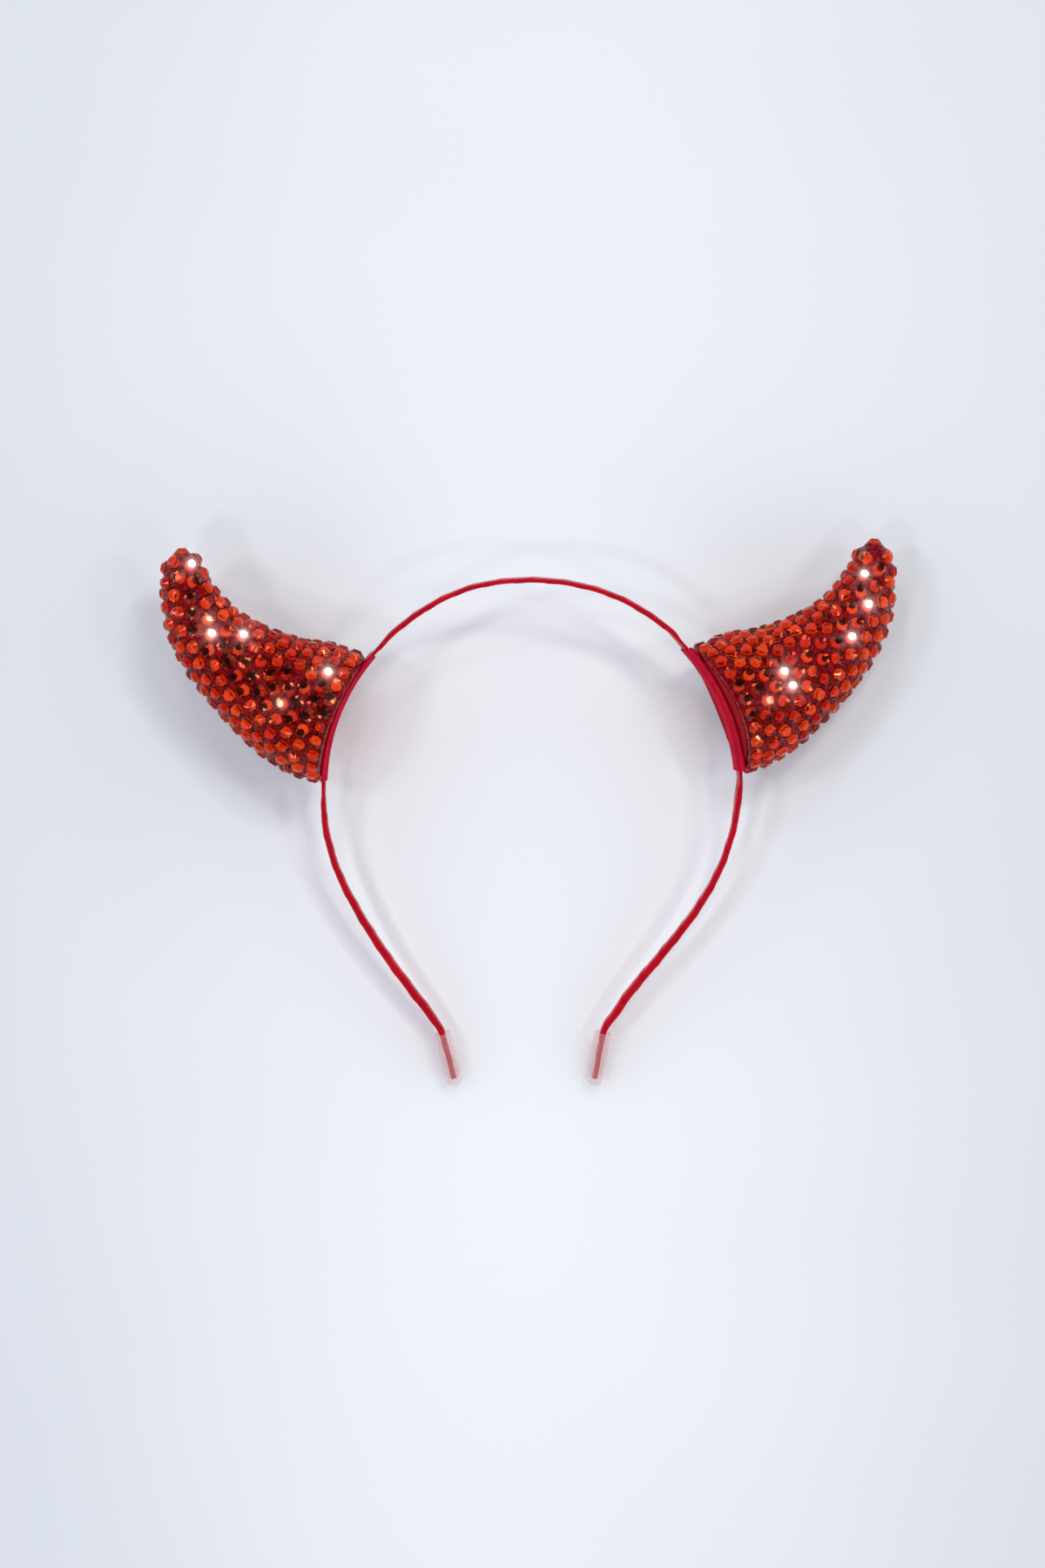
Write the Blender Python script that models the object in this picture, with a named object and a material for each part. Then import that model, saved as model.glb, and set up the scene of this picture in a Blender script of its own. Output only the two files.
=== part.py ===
"""Devil horns headband: a springy wrapped band with two foam horns set all over with cut stones.

Metres, +Z up. The headband lies as on a table: on the undersides of both horns and on its two end caps.
The band is modelled in its own plane, with the centre of its arch at the origin, +Y to the crown, +X to
the right and +Z to the viewer. An empty then tips that plane to where it rests.
"""

import math
from collections import namedtuple

import bmesh
import bpy
from mathutils import Euler, Matrix, Vector

for old in list(bpy.data.objects):
    bpy.data.objects.remove(old, do_unlink=True)

# Clearance between two pieces that touch on the real headband
GAP = 0.0003

# The band: a spring-steel strip wound with satin ribbon, seen on its edge from the front
ARCH_RADIUS = 0.067
BAND_THICKNESS = 0.0020
BAND_WIDTH = 0.0052
BAND_EDGE = 0.0004
BAND_STATION = 0.0072

# The band's line, as shares of ARCH_RADIUS: height over the arch's centre and the reach to each side,
# with the wound strip's thickness as a share of BAND_THICKNESS
BandRow = namedtuple("BandRow", "up left right thick")
BAND_ROWS = (
    BandRow(1.006, 0.000, 0.000, 0.80),
    BandRow(0.981, 0.238, 0.236, 0.80),
    BandRow(0.909, 0.430, 0.449, 0.85),
    BandRow(0.781, 0.622, 0.649, 0.90),
    BandRow(0.612, 0.787, 0.816, 1.00),
    BandRow(0.402, 0.912, 0.940, 1.00),
    BandRow(0.190, 0.982, 0.990, 1.00),
    BandRow(-0.030, 0.998, 0.999, 1.00),
    BandRow(-0.182, 0.985, 0.981, 1.00),
    BandRow(-0.390, 0.931, 0.914, 1.05),
    BandRow(-0.594, 0.833, 0.800, 1.15),
    BandRow(-0.800, 0.706, 0.643, 1.25),
    BandRow(-0.992, 0.568, 0.486, 1.30),
    BandRow(-1.098, 0.488, 0.413, 1.25),
    BandRow(-1.179, 0.435, 0.359, 1.05),
    BandRow(-1.255, 0.411, 0.343, 0.90),
    BandRow(-1.336, 0.390, 0.328, 0.85),
    BandRow(-1.416, 0.369, 0.314, 0.80),
)

# The horns: each sits at an angle from the crown, on a stretch of the band that is a true arc. Its
# radius is seat times ARCH_RADIUS. lean turns the horn's tip down, away from the viewer, and the
# strip with it, and swing turns the tip towards the crown. The winding is pressed to SEAT_THIN of its thickness between the felt pieces.
HornPlace = namedtuple("HornPlace", "at_deg seat lean_deg swing_deg curl")
HORN_PLACES = {
    "left": HornPlace(69.3, 0.993, 0.0, 0.5, -1),
    "right": HornPlace(67.0, 1.006, 11.0, -3.0, 1),
}
SEAT_THIN = 0.70
SEAT_FADE = 0.014

# The horn's foam body, under its stones
HORN_LENGTH = 0.0760
HORN_RADIUS = 0.0214
HORN_DEPTH = 0.0195
HORN_SIDES = 20
BASE_BLEND = 0.012
RIM_ROUND = 0.0008
RIM_WALL = 0.0020

# Its sections: distance along the centre line as a share of HORN_LENGTH, the line's turn from its
# start towards the crown, and the width as a share of HORN_RADIUS and HORN_DEPTH
HornRow = namedtuple("HornRow", "along turn_deg width")
HORN_ROWS = (
    HornRow(0.00, -13.0, 1.000),
    HornRow(0.10, -3.0, 0.975),
    HornRow(0.18, 5.5, 0.925),
    HornRow(0.34, 13.0, 0.795),
    HornRow(0.49, 20.5, 0.670),
    HornRow(0.62, 32.0, 0.562),
    HornRow(0.74, 46.0, 0.462),
    HornRow(0.84, 56.0, 0.355),
    HornRow(0.92, 63.0, 0.272),
    HornRow(0.97, 66.0, 0.200),
    HornRow(1.00, 67.0, 0.085),
)

# The stones: round flat-backed crystals cut with eight sides and a table. The real ones stand closer,
# side by side; these rows are as many as the solid horn carries.
STONE_DIAMETER = 0.0047
STONE_TABLE = 0.0025
STONE_PROUD = 0.0017
STONE_SINK = 0.0005
STONE_SIDES = 8
STONE_PITCH = 0.0065
STONE_ROW = 0.0088
STONE_FIRST_ROW = 0.0034

# The felt: a pad glued under the horn, and a strip that holds the band against the pad
PAD_THICKNESS = 0.0010
STRIP_THICKNESS = 0.0010
STRIP_WIDTH = 0.0140
STRIP_LENGTH = 0.0440
STRIP_SLOPE = 0.0008
STRIP_STATIONS = 13

# The clear caps on the band's ends
CAP_LENGTH = 0.0178
CAP_WALL = 0.0008
CAP_PAST_BAND = 0.0027
CAP_SLACK_THIN = 0.0010
CAP_SLACK_WIDE = 0.0006
CAP_SQUARE = 0.8
CAP_SIDES = 16

# How far apart the lying headband's supports are: horns to caps, and horn to horn
REST_LENGTH = 0.110
REST_SPAN = 0.140
REST_ROUNDS = 8

headband = bpy.data.collections.new("devil_horns_headband")
bpy.context.scene.collection.children.link(headband)
cutters = bpy.data.collections.new("cutters")
bpy.context.scene.collection.children.link(cutters)


def finish(name, colour, roughness, metallic=0.0, alpha=1.0):
    """A Principled material with one colour."""
    material = bpy.data.materials.new(name)
    material.use_nodes = True
    shader = material.node_tree.nodes["Principled BSDF"]
    shader.inputs["Base Color"].default_value = (*colour, 1.0)
    shader.inputs["Roughness"].default_value = roughness
    shader.inputs["Metallic"].default_value = metallic
    shader.inputs["Alpha"].default_value = alpha
    return material


SATIN = finish("red_satin_ribbon", (0.46, 0.012, 0.020), 0.38)
FELT = finish("crimson_felt", (0.42, 0.004, 0.022), 0.80)
CRYSTAL = finish("red_cut_stones", (0.52, 0.020, 0.008), 0.12)
CLEAR = finish("clear_vinyl", (0.86, 0.78, 0.79), 0.20, alpha=0.4)


def empty(name, parent=None):
    """An empty that carries pieces."""
    made = bpy.data.objects.new(name, None)
    headband.objects.link(made)
    made.parent = parent
    return made


def add_piece(name, mesh, material, parent):
    """A named object in the headband's collection."""
    made = bpy.data.objects.new(name, mesh)
    headband.objects.link(made)
    made.data.materials.append(material)
    made.parent = parent
    return made


def loft(name, rings):
    """A closed mesh through rings of points, with a face over the first and the last ring."""
    bm = bmesh.new()
    rows = [[bm.verts.new(point) for point in ring] for ring in rings]
    for near, far in zip(rows, rows[1:]):
        for i in range(len(near)):
            j = (i + 1) % len(near)
            bm.faces.new((near[i], near[j], far[j], far[i]))
    bm.faces.new(rows[0])
    bm.faces.new(rows[-1])
    bmesh.ops.recalc_face_normals(bm, faces=bm.faces)
    mesh = bpy.data.meshes.new(name)
    bm.to_mesh(mesh)
    bm.free()
    return mesh


def ease(share):
    """0 to 1 with a soft start and end."""
    share = min(1.0, max(0.0, share))
    return share * share * (3.0 - 2.0 * share)


def through(knots, at):
    """The value at a place on a smooth line through knots, which are (place, vector) in order."""
    last = len(knots) - 2
    i = next((k for k in range(last + 1) if at <= knots[k + 1][0]), last)

    def slope(k):
        before, after = knots[max(k - 1, 0)], knots[min(k + 1, len(knots) - 1)]
        return (after[1] - before[1]) / (after[0] - before[0])

    (start, a), (end, b) = knots[i], knots[i + 1]
    span = end - start
    t = min(1.0, max(0.0, (at - start) / span))
    bend = (t**3 - 2 * t**2 + t) * slope(i) + (t**3 - t**2) * slope(i + 1)
    return a + (b - a) * (3 * t**2 - 2 * t**3) + bend * span


# The band's line

SEAT_HALF_DEG = math.degrees(0.5 * STRIP_LENGTH / ARCH_RADIUS) + 2.5
SEAT_STEPS = 8


def side_line(side):
    """The band's line from the crown to one end, as vectors (across, up, thickness share)."""
    place = HORN_PLACES[side]
    sign = place.curl
    line = []
    for row in BAND_ROWS:
        across = getattr(row, side)
        from_crown = math.degrees(math.atan2(across, row.up))
        if abs(from_crown - place.at_deg) > SEAT_HALF_DEG + 2.0:
            point = Vector((sign * across * ARCH_RADIUS, row.up * ARCH_RADIUS, row.thick))
            line.append((from_crown, point))
    radius = place.seat * ARCH_RADIUS
    for step in range(-SEAT_STEPS, SEAT_STEPS + 1):
        from_crown = place.at_deg + SEAT_HALF_DEG * step / SEAT_STEPS
        angle = math.radians(from_crown)
        across, up = radius * math.sin(angle), radius * math.cos(angle)
        line.append((from_crown, Vector((sign * across, up, SEAT_THIN))))
    return [point for _, point in sorted(line, key=lambda pair: pair[0])]


def flat_distance(a, b):
    """The distance between two points of the band's line, in its plane."""
    return math.hypot(a.x - b.x, a.y - b.y)


def band_knots():
    """The whole band's line as (distance, point), from the left end to the right end."""
    points = side_line("left")[::-1] + side_line("right")[1:]
    knots = [(0.0, points[0])]
    for before, after in zip(points, points[1:]):
        knots.append((knots[-1][0] + flat_distance(before, after), after))
    return knots


KNOTS = band_knots()
BAND_LENGTH = KNOTS[-1][0]


def on_band(distance):
    """(point, direction) of the band's line at a distance from its left end, in its plane."""
    step = 0.0002
    ahead = through(KNOTS, min(BAND_LENGTH, distance + step))
    behind = through(KNOTS, max(0.0, distance - step))
    point = through(KNOTS, distance)
    return point, Vector((ahead.x - behind.x, ahead.y - behind.y, 0.0)).normalized()


def seat_centre(place):
    """(middle of a horn's seat, turn of its outward direction from +X), in the band's plane."""
    turn = math.radians(90.0 - place.curl * place.at_deg)
    radius = place.seat * ARCH_RADIUS
    return Vector((radius * math.cos(turn), radius * math.sin(turn), 0.0)), turn


def leaned(point):
    """(pivot, rotation) that turn a point of the band as its horn leans, fading out past the seat."""
    for place in HORN_PLACES.values():
        pivot, turn = seat_centre(place)
        from_crown = math.degrees(math.atan2(place.curl * point.x, point.y))
        past = (abs(from_crown - place.at_deg) - SEAT_HALF_DEG) * math.radians(ARCH_RADIUS)
        if from_crown > 0.0 and past < SEAT_FADE:
            share = 1.0 - ease(past / SEAT_FADE)
            tangent = Vector((-math.sin(turn), math.cos(turn), 0.0))
            return pivot, Matrix.Rotation(math.radians(place.lean_deg) * share, 3, tangent)
    return Vector(), Matrix.Identity(3)


def band_ring(distance):
    """The wound strip's cross-section: a rectangle with its four edges taken off."""
    point, along = on_band(distance)
    half_thick = 0.5 * BAND_THICKNESS * point.z
    half_wide = 0.5 * BAND_WIDTH
    outline = []
    for side_thick, side_wide in ((1, 1), (1, -1), (-1, -1), (-1, 1)):
        on_face = (side_thick * half_thick, side_wide * (half_wide - BAND_EDGE))
        on_edge = (side_thick * (half_thick - BAND_EDGE), side_wide * half_wide)
        outline += [on_edge, on_face] if side_thick == side_wide else [on_face, on_edge]
    outward = Vector((-along.y, along.x, 0.0))
    centre = Vector((point.x, point.y, 0.0))
    pivot, turn = leaned(point)
    flat = [centre + outward * out + Vector((0, 0, wide)) for out, wide in outline]
    return [pivot + turn @ (corner - pivot) for corner in flat]


def build_band(root):
    """The whole band, from one end to the other."""
    stations = round(BAND_LENGTH / BAND_STATION)
    rings = [band_ring(BAND_LENGTH * i / stations) for i in range(stations + 1)]
    add_piece("wrapped_band", loft("wrapped_band", rings), SATIN, root)


# The end caps


def bulge(value):
    """A sine or cosine drawn out towards 1, which squares an oval's shoulders."""
    return math.copysign(abs(value) ** CAP_SQUARE, value)


def oval(centre, thin_axis, thin, wide, sides):
    """A ring of points round centre, thin along thin_axis and wide along Z."""
    ring = []
    for i in range(sides):
        angle = 2 * math.pi * i / sides
        depth = wide * bulge(math.sin(angle))
        ring.append(centre + thin_axis * thin * bulge(math.cos(angle)) + Vector((0, 0, depth)))
    return ring


def build_cap(side, root):
    """A clear oval cap, open at its mouth, over the last stretch of the band."""
    distance = 0.0 if side == "left" else BAND_LENGTH
    end, along = on_band(distance)
    out = along if side == "right" else -along
    thin_axis = Vector((-out.y, out.x, 0.0))
    tip = Vector((end.x, end.y, 0.0)) + out * CAP_PAST_BAND
    inner_thin = 0.5 * BAND_THICKNESS + CAP_SLACK_THIN
    inner_wide = 0.5 * BAND_WIDTH + CAP_SLACK_WIDE
    thin, wide = inner_thin + CAP_WALL, inner_wide + CAP_WALL
    floor = CAP_PAST_BAND - GAP
    round_off = ((0.0, 0.40), (0.0006, 0.72), (0.0016, 0.92), (0.0030, 1.0))
    rings = [
        oval(tip - out * floor, thin_axis, 0.6 * inner_thin, 0.6 * inner_wide, CAP_SIDES),
        oval(tip - out * (floor + 0.0006), thin_axis, inner_thin, inner_wide, CAP_SIDES),
        oval(tip - out * CAP_LENGTH, thin_axis, inner_thin, inner_wide, CAP_SIDES),
        oval(tip - out * CAP_LENGTH, thin_axis, thin, wide, CAP_SIDES),
    ]
    for back, share in reversed(round_off):
        rings.append(oval(tip - out * back, thin_axis, share * thin, share * wide, CAP_SIDES))
    add_piece("end_cap_" + side, loft("end_cap_" + side, rings), CLEAR, root)


# The horns. A seat's own frame has +X out of the arch, +Y along it and +Z to the viewer.

PAD_INNER = 0.5 * BAND_THICKNESS * SEAT_THIN + GAP
PAD_OUTER = PAD_INNER + PAD_THICKNESS
POCKET_FLOOR = PAD_OUTER + GAP
HORN_BASE = PAD_INNER


def build_seat(side, root):
    """The empty that carries one horn with its pad and strip, on the band's centre line."""
    pivot, turn = seat_centre(HORN_PLACES[side])
    seat = empty("seat_" + side, root)
    seat.location = pivot
    seat.rotation_euler = (0.0, math.radians(HORN_PLACES[side].lean_deg), turn)
    return seat


HORN_KNOTS = [(row.along, Vector((row.turn_deg, row.width, 0.0))) for row in HORN_ROWS]
LINE_STEPS = 60
SWING_BY = 5.0


def horn_line(place):
    """The horn's centre line as (share along, (x, y, turn)), by walking along it as it turns."""
    at = Vector((HORN_BASE, 0.0, 0.0))
    line = [(0.0, at)]
    step = HORN_LENGTH / LINE_STEPS
    for i in range(LINE_STEPS):
        swing = place.swing_deg * ease(i / LINE_STEPS * SWING_BY)
        turn = math.radians(through(HORN_KNOTS, (i + 0.5) / LINE_STEPS).x + swing)
        at = at + Vector((math.cos(turn) * step, math.sin(turn) * step, 0.0))
        line.append(((i + 1) / LINE_STEPS, Vector((at.x, at.y, turn))))
    line[0][1].z = line[1][1].z
    return line


HORN_LINES = {place: horn_line(place) for place in HORN_PLACES.values()}


def horn_point(place, along, angle, width_share=1.0):
    """A point of the horn's skin in its seat's frame. angle 0 is the side that curls to the crown."""
    width = through(HORN_KNOTS, along).y
    centre = through(HORN_LINES[place], along)
    across = HORN_RADIUS * width * width_share * math.cos(angle)
    x = centre.x - math.sin(centre.z) * across
    y = centre.y + math.cos(centre.z) * across
    z = HORN_DEPTH * width * width_share * math.sin(angle)
    seat = place.seat * ARCH_RADIUS
    on_arch = math.sqrt(max(0.0, (seat + HORN_BASE) ** 2 - y**2)) - seat + along * HORN_LENGTH
    x = on_arch + (x - on_arch) * ease(along * HORN_LENGTH / BASE_BLEND)
    return Vector((x, place.curl * y, z))


def horn_ring(place, along):
    """One ring of the horn's skin."""
    return [horn_point(place, along, 2 * math.pi * i / HORN_SIDES) for i in range(HORN_SIDES)]


def base_point(place, out, share, angle):
    """A point under the horn, out from the band's line, on the oval that is share of its base."""
    y = share * HORN_RADIUS * math.cos(angle)
    seat = place.seat * ARCH_RADIUS
    x = math.sqrt((seat + out) ** 2 - y**2) - seat
    return Vector((x, place.curl * y, share * HORN_DEPTH * math.sin(angle)))


def base_ring(place, out, share, sides):
    """One ring of base points."""
    return [base_point(place, out, share, 2 * math.pi * i / sides) for i in range(sides)]


def horn_body(name, place):
    """The foam horn: its base follows the arch round a pocket for the pad, and its tip is rounded."""
    pocket = 1.0 - RIM_WALL / HORN_RADIUS
    rings = [base_ring(place, POCKET_FLOOR, share * pocket, HORN_SIDES) for share in (0.35, 0.7, 1.0)]
    rings.append(base_ring(place, HORN_BASE, pocket, HORN_SIDES))
    rings.append(base_ring(place, HORN_BASE, 1.0 - RIM_ROUND / HORN_RADIUS, HORN_SIDES))
    rings.append(horn_ring(place, RIM_ROUND / HORN_LENGTH))
    rings += [horn_ring(place, row.along) for row in HORN_ROWS[1:]]
    return loft(name, rings)


def stone_seats(place):
    """Where each stone lies on the horn, as a matrix with +Z out of the skin."""
    seats = []
    rows = int((HORN_LENGTH - STONE_FIRST_ROW) / STONE_ROW) + 1
    for row in range(rows):
        along = (STONE_FIRST_ROW + row * STONE_ROW) / HORN_LENGTH
        wide = through(HORN_KNOTS, along).y
        girth = math.pi * (HORN_RADIUS + HORN_DEPTH) * wide
        count = int(girth / STONE_PITCH)
        for i in range(count):
            angle = 2 * math.pi * (i + 0.5 * (row % 2)) / count
            seats.append(stone_seat(place, along, angle))
    tip = horn_point(place, 1.0, 0.0, 0.0)
    before = horn_point(place, 0.97, 0.0, 0.0)
    seats.append(Matrix.Translation(tip) @ (tip - before).to_track_quat("Z", "Y").to_matrix().to_4x4())
    return seats


def stone_seat(place, along, angle):
    """One stone's place: the skin's point there, turned to the skin's normal."""
    near, turn = 0.004, 0.02
    along_skin = horn_point(place, min(1.0, along + near), angle) - horn_point(place, along - near, angle)
    round_skin = horn_point(place, along, angle + turn) - horn_point(place, along, angle - turn)
    normal = round_skin.cross(along_skin) * place.curl
    facing = normal.to_track_quat("Z", "Y").to_matrix().to_4x4()
    return Matrix.Translation(horn_point(place, along, angle)) @ facing


def stones_mesh(name, place):
    """All the modelled stones of one horn."""
    bm = bmesh.new()
    height = STONE_PROUD + STONE_SINK
    for seat in stone_seats(place):
        lift = Matrix.Translation((0.0, 0.0, 0.5 * height - STONE_SINK))
        bmesh.ops.create_cone(
            bm,
            cap_ends=True,
            segments=STONE_SIDES,
            radius1=0.5 * STONE_DIAMETER,
            radius2=0.5 * STONE_TABLE,
            depth=height,
            matrix=seat @ lift,
        )
    mesh = bpy.data.meshes.new(name)
    bm.to_mesh(mesh)
    bm.free()
    return mesh


def build_horn(side, seat):
    """A horn with its stones, fused into one solid."""
    place = HORN_PLACES[side]
    horn = add_piece("horn_" + side, horn_body("horn_" + side, place), CRYSTAL, seat)
    stones = bpy.data.objects.new("stones_" + side, stones_mesh("stones_" + side, place))
    cutters.objects.link(stones)
    stones.parent = seat
    stones.hide_render = True
    stones.display_type = "WIRE"
    union = horn.modifiers.new("stones", "BOOLEAN")
    union.operation = "UNION"
    union.object = stones


# The felt pads and strips


def arch_point(place, out, along, depth):
    """A point in a seat's frame: out from the band's line, along the arch and towards the viewer."""
    radius = place.seat * ARCH_RADIUS
    angle = along / radius
    x = (radius + out) * math.cos(angle) - radius
    return Vector((x, (radius + out) * math.sin(angle), depth))


def build_pad(side, seat):
    """A felt oval in the horn's base that follows the arch."""
    place = HORN_PLACES[side]
    edge = 1.0 - (RIM_WALL + GAP) / HORN_RADIUS
    rings = [base_ring(place, PAD_INNER, share * edge, HORN_SIDES) for share in (0.35, 0.7, 1.0)]
    rings += [base_ring(place, PAD_OUTER, share * edge, HORN_SIDES) for share in (1.0, 0.7, 0.35)]
    add_piece("felt_pad_" + side, loft("felt_pad_" + side, rings), FELT, seat)


def build_strip(side, seat):
    """A felt strip glued to the pad on both sides of the band, and raised over it in between."""
    place = HORN_PLACES[side]
    flange = PAD_INNER - GAP
    crest = -PAD_INNER
    channel = 0.5 * BAND_WIDTH + GAP
    foot = channel + STRIP_SLOPE
    edge = 0.5 * STRIP_WIDTH
    slack = 0.5 * STRIP_THICKNESS
    over = ((edge, flange), (foot, flange), (channel, crest))
    under = ((channel + slack, crest), (foot + slack, flange), (edge, flange))
    profile = [(-depth, out) for depth, out in over] + list(reversed(over))
    lower = [(depth, out - STRIP_THICKNESS) for depth, out in under]
    profile += list(reversed(lower)) + [(-depth, out) for depth, out in lower]
    rings = []
    for i in range(STRIP_STATIONS):
        along = STRIP_LENGTH * (i / (STRIP_STATIONS - 1) - 0.5)
        rings.append([arch_point(place, out, along, depth) for depth, out in profile])
    add_piece("felt_strip_" + side, loft("felt_strip_" + side, rings), FELT, seat)


def corners_in_plane():
    """Each piece's vertices before the band's plane is tipped, by name."""
    bpy.context.view_layer.update()
    ready = bpy.context.evaluated_depsgraph_get()
    corners = {}
    for piece in headband.objects:
        if piece.type == "MESH":
            shown = piece.evaluated_get(ready)
            corners[piece.name] = [shown.matrix_world @ vertex.co for vertex in shown.data.vertices]
    return corners


def lay_down(root):
    """Tips the band's plane until horns and caps touch the table, and centres the headband on it."""
    corners = corners_in_plane()
    tilt = bank = 0.0
    for _ in range(REST_ROUNDS):
        turn = Euler((tilt, bank, 0.0)).to_matrix()
        low = {name: min((turn @ corner).z for corner in found) for name, found in corners.items()}
        caps = min(low["end_cap_left"], low["end_cap_right"])
        tilt += (caps - 0.5 * (low["horn_left"] + low["horn_right"])) / REST_LENGTH
        bank += (low["horn_right"] - low["horn_left"]) / REST_SPAN
    root.rotation_euler = (tilt, bank, 0.0)
    turn = root.rotation_euler.to_matrix()
    laid = [turn @ corner for found in corners.values() for corner in found]
    near = [min(corner[axis] for corner in laid) for axis in range(3)]
    far = [max(corner[axis] for corner in laid) for axis in range(3)]
    root.location = (-0.5 * (near[0] + far[0]), -0.5 * (near[1] + far[1]), -near[2])


band_plane = empty("band_plane")
build_band(band_plane)
for horn_side in HORN_PLACES:
    build_cap(horn_side, band_plane)
    horn_seat = build_seat(horn_side, band_plane)
    build_horn(horn_side, horn_seat)
    build_pad(horn_side, horn_seat)
    build_strip(horn_side, horn_seat)
lay_down(band_plane)
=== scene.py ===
"""Looks for a devil horns headband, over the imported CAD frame.

The headband lies on a pale table. Every piece is made in the band's own plane, with the centre of its
arch at the origin, +Y to the crown and +Z to the viewer, and is then laid down as the CAD model lies.
"""

import functools
import math
import random
from collections import namedtuple

import bmesh
import bpy
import numpy as np
from mathutils import Euler, Matrix, Vector, kdtree, noise


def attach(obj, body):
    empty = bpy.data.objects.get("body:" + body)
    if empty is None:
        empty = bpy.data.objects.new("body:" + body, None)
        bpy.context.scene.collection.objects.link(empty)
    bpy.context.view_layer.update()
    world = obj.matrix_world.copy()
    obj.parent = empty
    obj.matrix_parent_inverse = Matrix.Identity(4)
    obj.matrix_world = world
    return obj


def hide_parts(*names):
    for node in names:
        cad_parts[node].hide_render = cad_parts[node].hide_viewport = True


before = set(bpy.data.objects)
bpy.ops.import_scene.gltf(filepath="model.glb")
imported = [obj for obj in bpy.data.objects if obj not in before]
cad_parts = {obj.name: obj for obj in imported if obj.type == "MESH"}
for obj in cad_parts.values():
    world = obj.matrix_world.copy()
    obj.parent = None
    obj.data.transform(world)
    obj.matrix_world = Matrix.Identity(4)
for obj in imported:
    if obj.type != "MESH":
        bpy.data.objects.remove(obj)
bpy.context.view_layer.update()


# The band
# A spring-steel strip, bent by hand to the head. A 10 mm satin ribbon is wound round it edge over edge
# and glued, so each turn shows the step of its own edge and lies double for a short way.
MM = 0.001
ARCH_RADIUS = 67.0 * MM
BAND_THICKNESS = 2.0 * MM
BAND_WIDTH = 5.2 * MM
BAND_CORNER = 0.55
RIBBON_SLACK = 0.08 * MM
SLACK_FROM = 0.8
WINDING_PITCH = 10.0 * MM
WINDING_STEP = 0.14 * MM
BAND_RING_EVERY = 0.5 * MM
BAND_SIDES = 32

# Where the headband lies, as the CAD model settles on its horns and caps
LAID_AT = Vector((0.249, 8.362, 17.778)) * MM
LAID_TILT_DEG = 8.375
LAID_BANK_DEG = -0.104
LAID = Matrix.Translation(LAID_AT) @ Euler(
    (math.radians(LAID_TILT_DEG), math.radians(LAID_BANK_DEG), 0.0)
).to_matrix().to_4x4()

# The band's line, as shares of ARCH_RADIUS, with the strip's thickness as a share of BAND_THICKNESS
BandRow = namedtuple("BandRow", "up left right thick")
BAND_ROWS = (
    BandRow(1.006, 0.000, 0.000, 0.80),
    BandRow(0.981, 0.238, 0.236, 0.80),
    BandRow(0.909, 0.430, 0.449, 0.85),
    BandRow(0.781, 0.622, 0.649, 0.90),
    BandRow(0.612, 0.787, 0.816, 1.00),
    BandRow(0.402, 0.912, 0.940, 1.00),
    BandRow(0.190, 0.982, 0.990, 1.00),
    BandRow(-0.030, 0.998, 0.999, 1.00),
    BandRow(-0.182, 0.985, 0.981, 1.00),
    BandRow(-0.390, 0.931, 0.914, 1.05),
    BandRow(-0.594, 0.833, 0.800, 1.15),
    BandRow(-0.800, 0.706, 0.643, 1.25),
    BandRow(-0.992, 0.568, 0.486, 1.30),
    BandRow(-1.098, 0.488, 0.413, 1.25),
    BandRow(-1.179, 0.435, 0.359, 1.05),
    BandRow(-1.255, 0.411, 0.343, 0.90),
    BandRow(-1.336, 0.390, 0.328, 0.85),
    BandRow(-1.416, 0.369, 0.314, 0.80),
)

# The horns' seats on the band, which are true arcs. at_deg is counted from the crown, and lean turns a
# horn's tip down to the table. The outside of a curl is flatter by a millimetre or two.
HornPlace = namedtuple("HornPlace", "side at_deg seat lean_deg swing_deg curl flatter")
LEFT = HornPlace("left", 69.3, 0.993, 0.0, 0.5, -1, 1.7 * MM)
RIGHT = HornPlace("right", 67.0, 1.006, 11.0, -3.0, 1, 0.9 * MM)
STRIP_LENGTH = 44.0 * MM
SEAT_THIN = 0.70
SEAT_FADE = 14.0 * MM
SEAT_PAST_STRIP_DEG = 2.5
SEAT_HALF_DEG = math.degrees(0.5 * STRIP_LENGTH / ARCH_RADIUS) + SEAT_PAST_STRIP_DEG
CLEAR_OF_SEAT_DEG = 2.0
SEAT_STEPS = 8


def ease(share):
    """0 to 1 with a soft start and end."""
    share = min(1.0, max(0.0, share))
    return share * share * (3.0 - 2.0 * share)


def through(knots, at):
    """The value at a place on a smooth line through knots, which are (place, vector) in order."""
    last = len(knots) - 2
    i = next((k for k in range(last + 1) if at <= knots[k + 1][0]), last)

    def slope(k):
        before, after = knots[max(k - 1, 0)], knots[min(k + 1, len(knots) - 1)]
        return (after[1] - before[1]) / (after[0] - before[0])

    (start, a), (end, b) = knots[i], knots[i + 1]
    span = end - start
    t = min(1.0, max(0.0, (at - start) / span))
    bend = (t**3 - 2 * t**2 + t) * slope(i) + (t**3 - t**2) * slope(i + 1)
    return a + (b - a) * (3 * t**2 - 2 * t**3) + bend * span


def side_line(place):
    """The band's line from the crown to one end, as vectors (across, up, thickness share)."""
    line = []
    for row in BAND_ROWS:
        across = getattr(row, place.side)
        from_crown = math.degrees(math.atan2(across, row.up))
        if abs(from_crown - place.at_deg) > SEAT_HALF_DEG + CLEAR_OF_SEAT_DEG:
            point = Vector((place.curl * across * ARCH_RADIUS, row.up * ARCH_RADIUS, row.thick))
            line.append((from_crown, point))
    radius = place.seat * ARCH_RADIUS
    for step in range(-SEAT_STEPS, SEAT_STEPS + 1):
        from_crown = place.at_deg + SEAT_HALF_DEG * step / SEAT_STEPS
        angle = math.radians(from_crown)
        across, up = radius * math.sin(angle), radius * math.cos(angle)
        line.append((from_crown, Vector((place.curl * across, up, SEAT_THIN))))
    return [point for _, point in sorted(line, key=lambda pair: pair[0])]


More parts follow.
